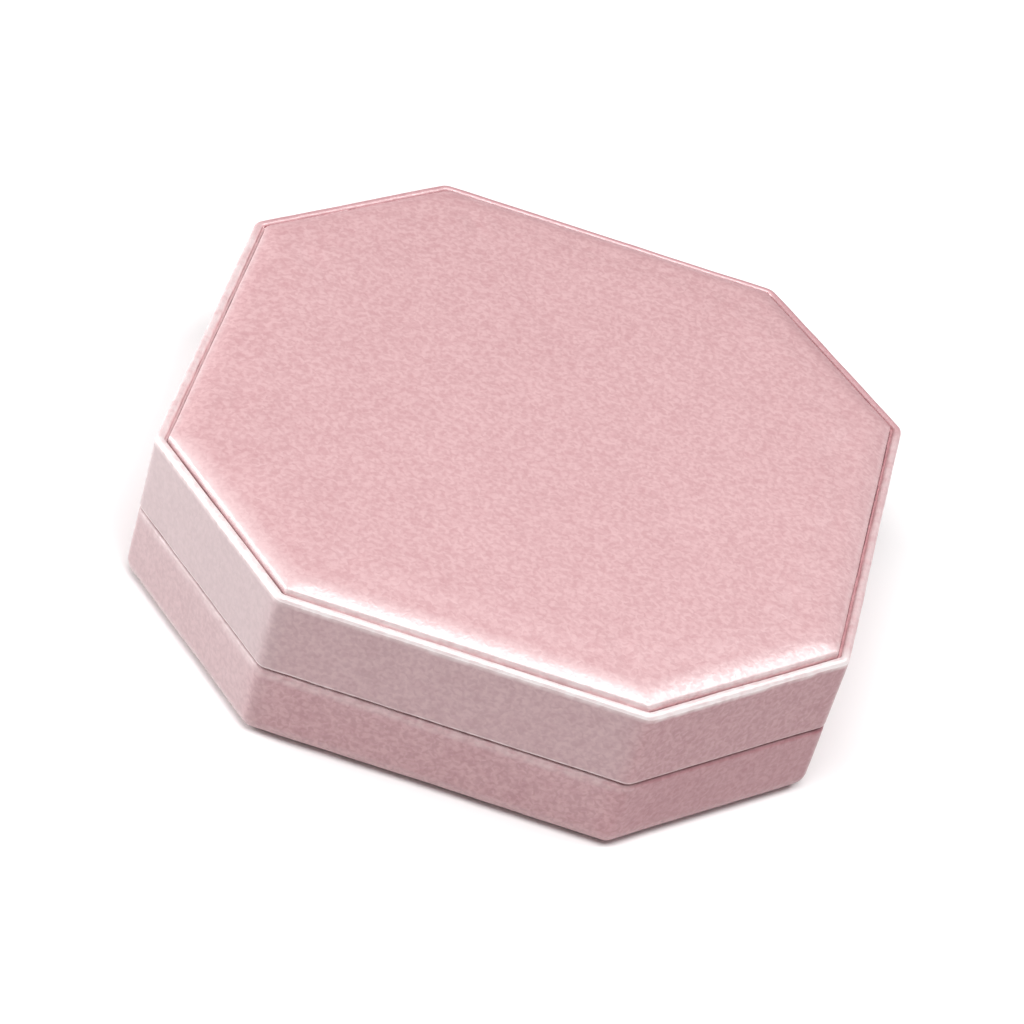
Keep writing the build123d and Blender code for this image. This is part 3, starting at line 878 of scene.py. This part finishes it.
def make_ring_rolls():
    """Two soft rolls side by side, a little flat where they press on each other."""
    radius = (ROLLS_HIGH.z - ROLLS_LOW.z) / 2
    middle_z = ROLLS_LOW.z + radius
    middle_y = (ROLLS_LOW.y + ROLLS_HIGH.y) / 2
    ends = 3.0 * MM  # length of each round end
    end_share = 0.25  # of the radius, at the very end
    pressed = 0.93  # of the radius, where the rolls touch
    around = 28
    verts, faces = [], []
    length = ROLLS_HIGH.x
    stations = [(-length, end_share)]
    for a in (0.4, 0.8, 1.2, math.pi / 2):
        stations.append((-length + ends * (1 - math.cos(a)), math.sin(a) * (1 - end_share) + end_share))
    end_count = len(stations)
    body = line((-length + ends, 0), (length - ends, 0), 2.2 * MM)[1:]
    stations += [(x, 1.0) for x, _ in body]
    stations += [(-x, share) for x, share in reversed(stations[:end_count])]
    for side in (-1, 1):
        y = middle_y + side * (ROLLS_HIGH.y - middle_y) / 2
        start = len(verts)
        for x, share in stations:
            for i in range(around):
                a = i / around * 2 * math.pi
                dy = math.cos(a) * radius * share
                if dy * side < -pressed * radius:
                    dy = -side * pressed * radius
                verts.append((x, y + dy, middle_z + math.sin(a) * radius * share))
        count = len(stations)
        for i in range(count - 1):
            for j in range(around):
                k = (j + 1) % around
                low, high = start + i * around, start + (i + 1) * around
                faces.append((low + k, low + j, high + j, high + k))
        faces.append(tuple(start + j for j in range(around)))
        faces.append(tuple(start + (count - 1) * around + j for j in reversed(range(around))))
    obj = new_object("ring_holder_rolls", verts, faces, [0.0] * len(verts))
    shape = bmesh.new()
    shape.from_mesh(obj.data)
    bmesh.ops.recalc_face_normals(shape, faces=shape.faces)
    shape.to_mesh(obj.data)
    shape.free()
    ripple(obj, height=0.10 * MM, size=5 * MM, seed=51)
    dress(obj, LINING_VELVET)
    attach(obj, "base")
    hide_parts("ring_rolls")


# ---- CAD nodes that stay ----
def dress_nodes():
    groups = {
        FELT: ["base_floor_sheet"],
        FOAM: ["insert_foam", "top_panel_foam", "lid_pad_foam"],
        MOULDING: ["base_shell", "lid_shell"],
        BOARD: ["insert_board", "top_panel_board", "lid_pad_board"],
        BRASS: [
            "necklace_hooks",
            "hinge_base_leaves",
            "hinge_lid_leaves",
            "hinge_base_rivets",
            "hinge_lid_rivets",
            "hinge_pins",
        ],
        MAGNET: ["base_magnets", "lid_magnets"],
    }
    for material, names in groups.items():
        for name in names:
            dress(frame["nodes"][name], material)


# ---- floor, light and camera ----
def make_stage():
    mesh = bpy.data.meshes.new("floor")
    half = 3.0
    square = [(-half, -half, 0), (half, -half, 0), (half, half, 0), (-half, half, 0)]
    mesh.from_pydata(square, [], [(0, 1, 2, 3)])
    floor = bpy.data.objects.new("floor", mesh)
    bpy.context.scene.collection.objects.link(floor)
    dress(floor, plain("floor", (0.96, 0.96, 0.96), (0.98, 0.98, 0.98), 0.3, (0.6, 0.7), 0.01 * MM))


def area_light(name, where, size, power):
    """A soft light that points at the middle of the lid."""
    data = bpy.data.lights.new(name, "AREA")
    data.shape = "RECTANGLE"
    data.size, data.size_y = size
    data.energy = power
    lamp = bpy.data.objects.new(name, data)
    lamp.location = where
    lamp.rotation_mode = "QUATERNION"
    lamp.rotation_quaternion = (Vector((0, 0, RIM_TOP)) - Vector(where)).to_track_quat("-Z", "Y")
    bpy.context.scene.collection.objects.link(lamp)


def make_lights():
    area_light("overhead", (0.0, -0.45, 1.3), (0.9, 0.6), 14.5)
    area_light("left", (-1.3, 0.05, 0.42), (0.6, 0.6), 13)
    area_light("right", (0.78, 0.25, 1.15), (0.5, 0.4), 7)
    world = bpy.data.worlds.new("studio")
    world.use_nodes = True
    background = world.node_tree.nodes["Background"]
    background.inputs["Color"].default_value = (1, 1, 1, 1)
    background.inputs["Strength"].default_value = 0.2
    bpy.context.scene.world = world


def make_camera():
    """The photo's view: from the front and above, with the box turned in the picture."""
    azimuth, elevation, roll = (math.radians(a) for a in (1.14, 39.07, 17.16))
    position = Matrix.Translation((0.0162, -0.8831, 0.7355))
    data = bpy.data.cameras.new("camera")
    data.sensor_width = 36
    data.lens = 145.8
    data.clip_start, data.clip_end = 0.05, 20
    camera = bpy.data.objects.new("camera", data)
    turn = Matrix.Rotation(azimuth, 4, "Z") @ Matrix.Rotation(math.pi / 2 - elevation, 4, "X")
    camera.matrix_world = position @ turn @ Matrix.Rotation(roll, 4, "Z")
    bpy.context.scene.collection.objects.link(camera)
    bpy.context.scene.camera = camera


make_stage()
make_lights()
make_camera()
make_lid_velvet()
make_base_velvet()
make_top_panel()
lining_band("base_lining", BASE_LINING_LOW, BASE_LINING_HIGH, True, "base", "base_side_lining")
lining_band("lid_lining", LID_LINING_LOW, LID_LINING_HIGH, False, "lid", "lid_side_lining")
make_satin_pad()
make_insert()
make_ring_rolls()
dress_nodes()
bpy.context.scene.view_settings.view_transform = "Standard"
